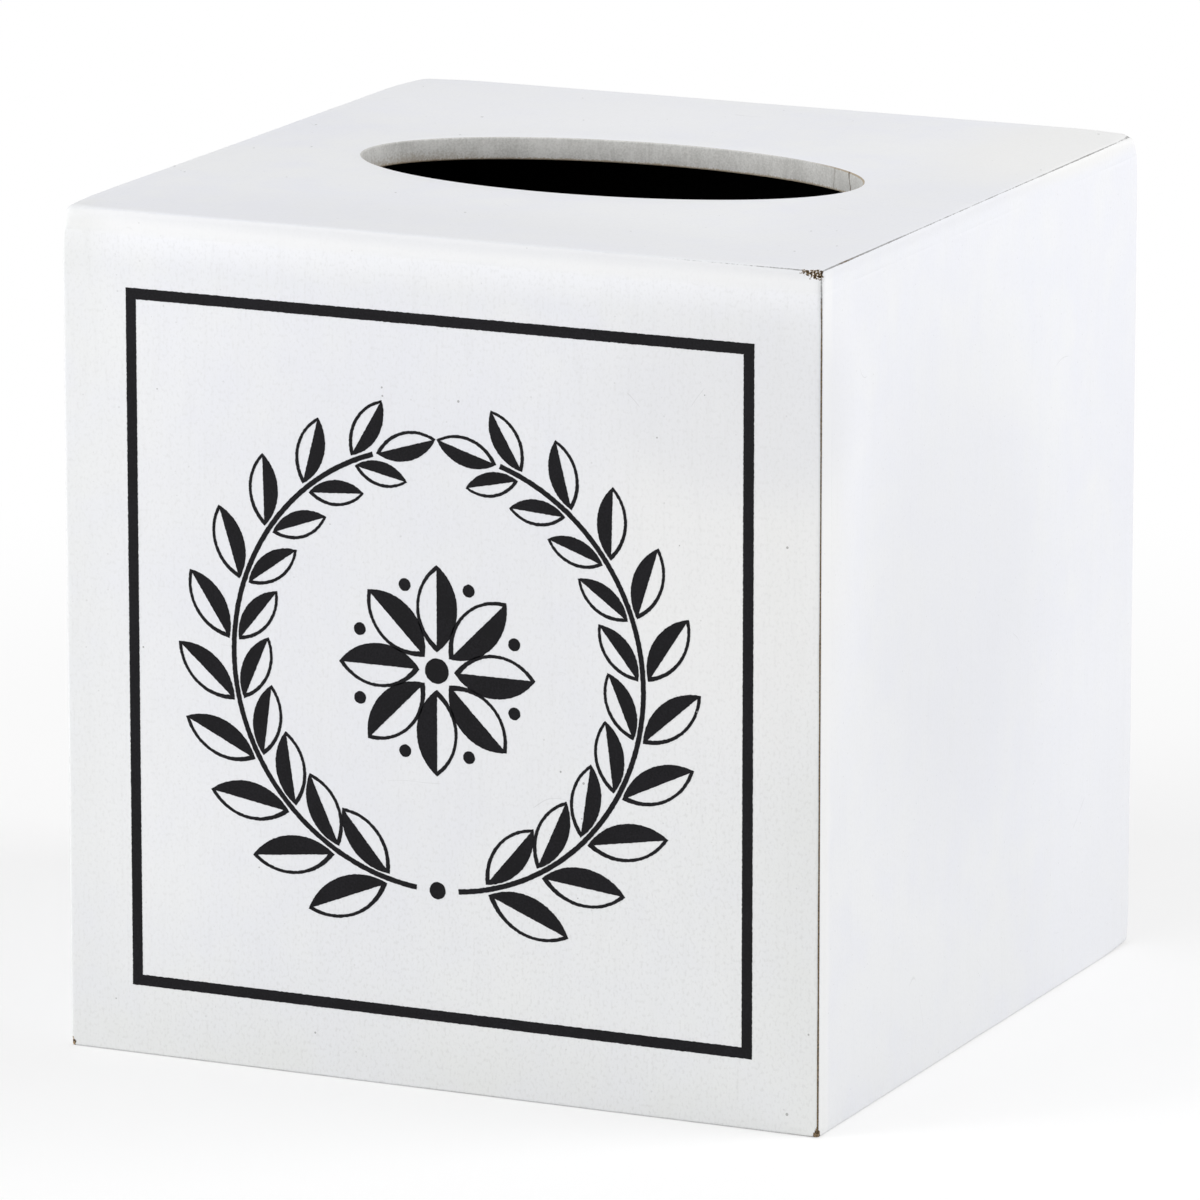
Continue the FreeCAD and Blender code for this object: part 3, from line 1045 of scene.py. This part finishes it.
def square_outline():
    """Points round the outside of the lid, in order, close together at the corners."""
    full_depth = stations(-HALF_DEPTH, HALF_DEPTH, NEAR_EDGE, NEAR_EDGE)
    points = [Vector((x, -HALF_DEPTH, 0)) for x in full_width[:-1]]
    points += [Vector((HALF_WIDTH, y, 0)) for y in full_depth[:-1]]
    points += [Vector((x, HALF_DEPTH, 0)) for x in full_width[:0:-1]]
    return points + [Vector((-HALF_WIDTH, y, 0)) for y in full_depth[:0:-1]]


def on_oval(point, offset):
    """The point of the opening in the direction of a point of the square, moved out by offset."""
    turn = math.atan2(point.y / OPENING_HALF_WIDTH, point.x / OPENING_HALF_LENGTH)
    return Vector((
        (OPENING_HALF_LENGTH + offset) * math.cos(turn),
        (OPENING_HALF_WIDTH + offset) * math.sin(turn), 0,
    ))


# %% [markdown]
# A loop lies on the oval, on the square or a share of the way between them. The
# profile lists the loops in order, each with its place, its height and the finish
# of the faces that lead up to it.

# %% Lid: profile
def lid_profile():
    """The loops of the lid in order: kind and amount, height, and finish."""
    turns = [math.pi / 2 * step / RIM_STEPS for step in range(RIM_STEPS + 1)]
    rim = [(RIM_EASE * (1 - math.sin(turn)), RIM_EASE * (1 - math.cos(turn))) for turn in turns]
    down_outside = stations(JOINT_HEIGHT, TOP, THIN_JOINT, THIN_EDGE)[-2::-1]
    loops = [(("oval", out), JOINT_HEIGHT + rise, SAWN) for out, rise in rim]
    loops += [(("oval", out), TOP - drop, SAWN) for drop, out in rim]
    loops += [(("between", share), TOP, PAINT) for share in ACROSS_TOP]
    loops += [(("square", inwards), TOP, PAINT) for inwards in reversed(NEAR_EDGE)]
    loops += [(("square", 0), height, PAINT) for height in down_outside]
    loops += [(("square", BOARD), JOINT_HEIGHT, BLACK)]
    loops += [(("between", share), JOINT_HEIGHT, BLACK) for share in reversed(ACROSS_TOP)]
    return loops + [(("oval", RIM_EASE), JOINT_HEIGHT, BLACK)]


def on_square(point, inwards):
    """A point of the square moved in from the outline."""
    x_share, y_share = 1 - inwards / HALF_WIDTH, 1 - inwards / HALF_DEPTH
    return Vector((point.x * x_share, point.y * y_share, 0))


def loop_point(kind, amount, point):
    """The point of a loop that belongs to a point of the outline."""
    if kind == "oval":
        return on_oval(point, amount)
    if kind == "square":
        return on_square(point, amount)
    return on_oval(point, RIM_EASE).lerp(on_square(point, NEAR_EDGE[-1]), amount)


# %% Make the lid
outline = square_outline()
bm = bmesh.new()
current = bmesh.ops.create_circle(bm, segments=len(outline), radius=HALF_WIDTH)["verts"]
edges = bm.edges[:]
for number, ((kind, amount), height, finish) in enumerate(lid_profile()):
    if number:
        grown = bmesh.ops.extrude_edge_only(bm, edges=edges)["geom"]
        new_points = {item for item in grown if isinstance(item, bmesh.types.BMVert)}
        edges = [item for item in grown if isinstance(item, bmesh.types.BMEdge)
                 and item.verts[0] in new_points and item.verts[1] in new_points]
        for face in (item for item in grown if isinstance(item, bmesh.types.BMFace)):
            face.material_index = finish
        linked = [[edge.other_vert(old) for edge in old.link_edges] for old in current]
        current = [next(other for other in others if other in new_points) for others in linked]
    for vertex, point in zip(current, outline):
        vertex.co = loop_point(kind, amount, point)
        vertex.co.z = height
bmesh.ops.remove_doubles(bm, verts=bm.verts, dist=SNAP / 10)
finish_board(bm, "lid_board", "top_panel")

# %% [markdown]
# ## The print
#
# The border and the wreath exist as thin solids with perfect edges. Ink
# that was pushed through a cloth screen has slightly saw-toothed ones, so each
# print is copied, its outline is cut into short stretches, and the points are
# nudged along the board by a few hundredths of a millimetre. The walls of the
# film come as pairs of triangles, so their slanted edges are dissolved first:
# cutting a four-sided wall makes a neat row of walls, without folds.

# %% Print
SCREEN_STEP = 0.00016
SCREEN_NUDGE = 0.00007
SCREEN_THREAD = 0.0004
OUTLINE_ANGLE = 1.0


def through_film(edge):
    """Whether an edge runs through the thickness of the ink, and whether it also slants."""
    apart = edge.verts[0].co - edge.verts[1].co
    through = abs(apart.y) > SNAP
    return through, through and apart.xz.length > SNAP


def printed_piece(name, node):
    """A copy of a printed solid with saw-toothed outlines."""
    bm = bmesh.new()
    bm.from_mesh(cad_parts[node].data)
    bmesh.ops.remove_doubles(bm, verts=bm.verts, dist=SNAP / 10)
    bmesh.ops.dissolve_edges(bm, edges=[edge for edge in bm.edges if through_film(edge)[1]])
    by_cuts = {}
    for edge in bm.edges:
        on_outline = not through_film(edge)[0] and edge.calc_face_angle(0) > OUTLINE_ANGLE
        if on_outline and edge.calc_length() > SCREEN_STEP:
            by_cuts.setdefault(int(edge.calc_length() / SCREEN_STEP), []).append(edge)
    for cuts, edges in by_cuts.items():
        bmesh.ops.subdivide_edges(bm, edges=edges, cuts=cuts)
    for vertex in bm.verts:
        flat = Vector((vertex.co.x, 0, vertex.co.z))
        vertex.co.x += SCREEN_NUDGE * wobble(flat, SCREEN_THREAD, 2.9)
        vertex.co.z += SCREEN_NUDGE * wobble(flat, SCREEN_THREAD, 5.7)
    bmesh.ops.triangulate(bm, faces=bm.faces)
    mesh = bpy.data.meshes.new(name)
    bm.to_mesh(mesh)
    bm.free()
    mesh.materials.append(black_ink)
    add_piece(name, mesh, node)


printed_piece("border_print", "printed_border")
printed_piece("wreath_print", "printed_wreath")

# %% [markdown]
# ## Pins
#
# The pins are plain wire and their solids are right as they are, so they stay
# and only get the wire finish.

# %% Pins
for node in ("top_pins", "front_pins", "back_pins"):
    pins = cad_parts[node]
    pins.data.materials.clear()
    pins.data.materials.append(drawn_wire)
    print(node, "in", drawn_wire.name)

# %% [markdown]
# ## Floor and light
#
# The floor is plain and pale. To the camera it is a white glow away from the
# cover, and beside the cover half of what shows is the floor's own shading, so the
# background is white and the soft shadow stays. Under the cover it doesn't glow,
# so the inside stays dark. To every other ray it is an ordinary matt floor, which
# throws light back up at the boards. Seen from below it lets the camera through.

# %% Floor
FLOOR_SIZE = 6.0

floor_mesh = bpy.data.meshes.new("floor")
bm = bmesh.new()
bmesh.ops.create_grid(bm, x_segments=1, y_segments=1, size=FLOOR_SIZE / 2)
bm.to_mesh(floor_mesh)
bm.free()
floor = add_object("floor", floor_mesh)

# %% Floor: which rays see it
def camera_rays(tree):
    """Masks of the camera's own rays, and of those with the ones that metal and glass send on."""
    path = add_node(tree, "ShaderNodeLightPath").outputs
    sent_on = calculate("MAXIMUM", path["Is Glossy Ray"], path["Is Transmission Ray"])
    camera_ray = path["Is Camera Ray"]
    return camera_ray, calculate("MAXIMUM", camera_ray, sent_on)


# %% Floor: finish
WHITE = (1, 1, 1, 1)
FLOOR_GREY = (0.68, 0.68, 0.68, 1)
FLOOR_WHITE = (0.94, 0.94, 0.94, 1)
GLOW_BESIDE = 0.5
SHADING_ENDS = (0.12, 0.42)

floor_paint = bpy.data.materials.new("floor_paint")
floor_paint.use_nodes = True
tree = floor_paint.node_tree
tree.nodes.clear()
camera_ray, seen = camera_rays(tree)
place = add_node(tree, "ShaderNodeTexCoord").outputs["Object"]
axes = axes_of(place)
past_ends = calculate("GREATER_THAN", calculate("ABSOLUTE", axes["X"]), HALF_WIDTH - BOARD / 2)
past_faces = calculate("GREATER_THAN", calculate("ABSOLUTE", axes["Y"]), HALF_DEPTH - BOARD / 2)
outside = calculate("MAXIMUM", past_ends, past_faces)
away = calculate_vector("LENGTH", place)
beside = spread(away, *SHADING_ENDS, GLOW_BESIDE, 1.0)
glow_share = multiply(multiply(seen, outside), beside)

floor_colour = blend_colours(seen, FLOOR_GREY, FLOOR_WHITE)
matt = add_node(tree, "ShaderNodeBsdfDiffuse", {"Color": floor_colour}).outputs[0]
glow = add_node(tree, "ShaderNodeEmission", {"Color": WHITE, "Strength": 1.0}).outputs[0]
clear = add_node(tree, "ShaderNodeBsdfTransparent").outputs[0]
pale = add_node(tree, "ShaderNodeMixShader", {0: glow_share, 1: matt, 2: glow}).outputs[0]
behind = add_node(tree, "ShaderNodeNewGeometry").outputs["Backfacing"]
through = multiply(behind, camera_ray)
top_only = add_node(tree, "ShaderNodeMixShader", {0: through, 1: pale, 2: clear}).outputs[0]
add_node(tree, "ShaderNodeOutputMaterial", {"Surface": top_only})
floor_mesh.materials.append(floor_paint)
print("floor finish:", floor_paint.name)

# %% [markdown]
# The light is an even white sky with three soft lamps: a large one in front, and
# two smaller ones above the left and the right side, which make each side a
# little brighter at its top than at its base. Each lamp has a place, a size in
# metres and a power in watts, and looks at the point that the camera aims at.

# %% Sky and lamps
SKY_STRENGTH = 0.52
LAMPS = [
    ("front_lamp", Vector((-0.9, -1.5, 0.62)), 1.0, 8.25),
    ("left_lamp", Vector((-0.7, -0.6, 0.50)), 0.5, 3.9),
    ("right_lamp", Vector((0.63, 0.16, 0.47)), 0.4, 2.95),
]

world = bpy.data.worlds.new("sky")
world.use_nodes = True
tree = world.node_tree
tree.nodes.clear()
strength = blend_values(camera_rays(tree)[1], SKY_STRENGTH, 1.0)
sky = add_node(tree, "ShaderNodeBackground", {"Color": WHITE, "Strength": strength}).outputs[0]
add_node(tree, "ShaderNodeOutputWorld", {"Surface": sky})
bpy.context.scene.world = world

for name, location, size, watts in LAMPS:
    lamp_data = bpy.data.lights.new(name, "AREA")
    lamp_data.size = size
    lamp_data.energy = watts
    lamp = add_object(name, lamp_data)
    lamp.location = location
    lamp.rotation_euler = (VIEW_AIM - location).to_track_quat("-Z", "Y").to_euler()
print("lamps:", ", ".join(name for name, *rest in LAMPS))
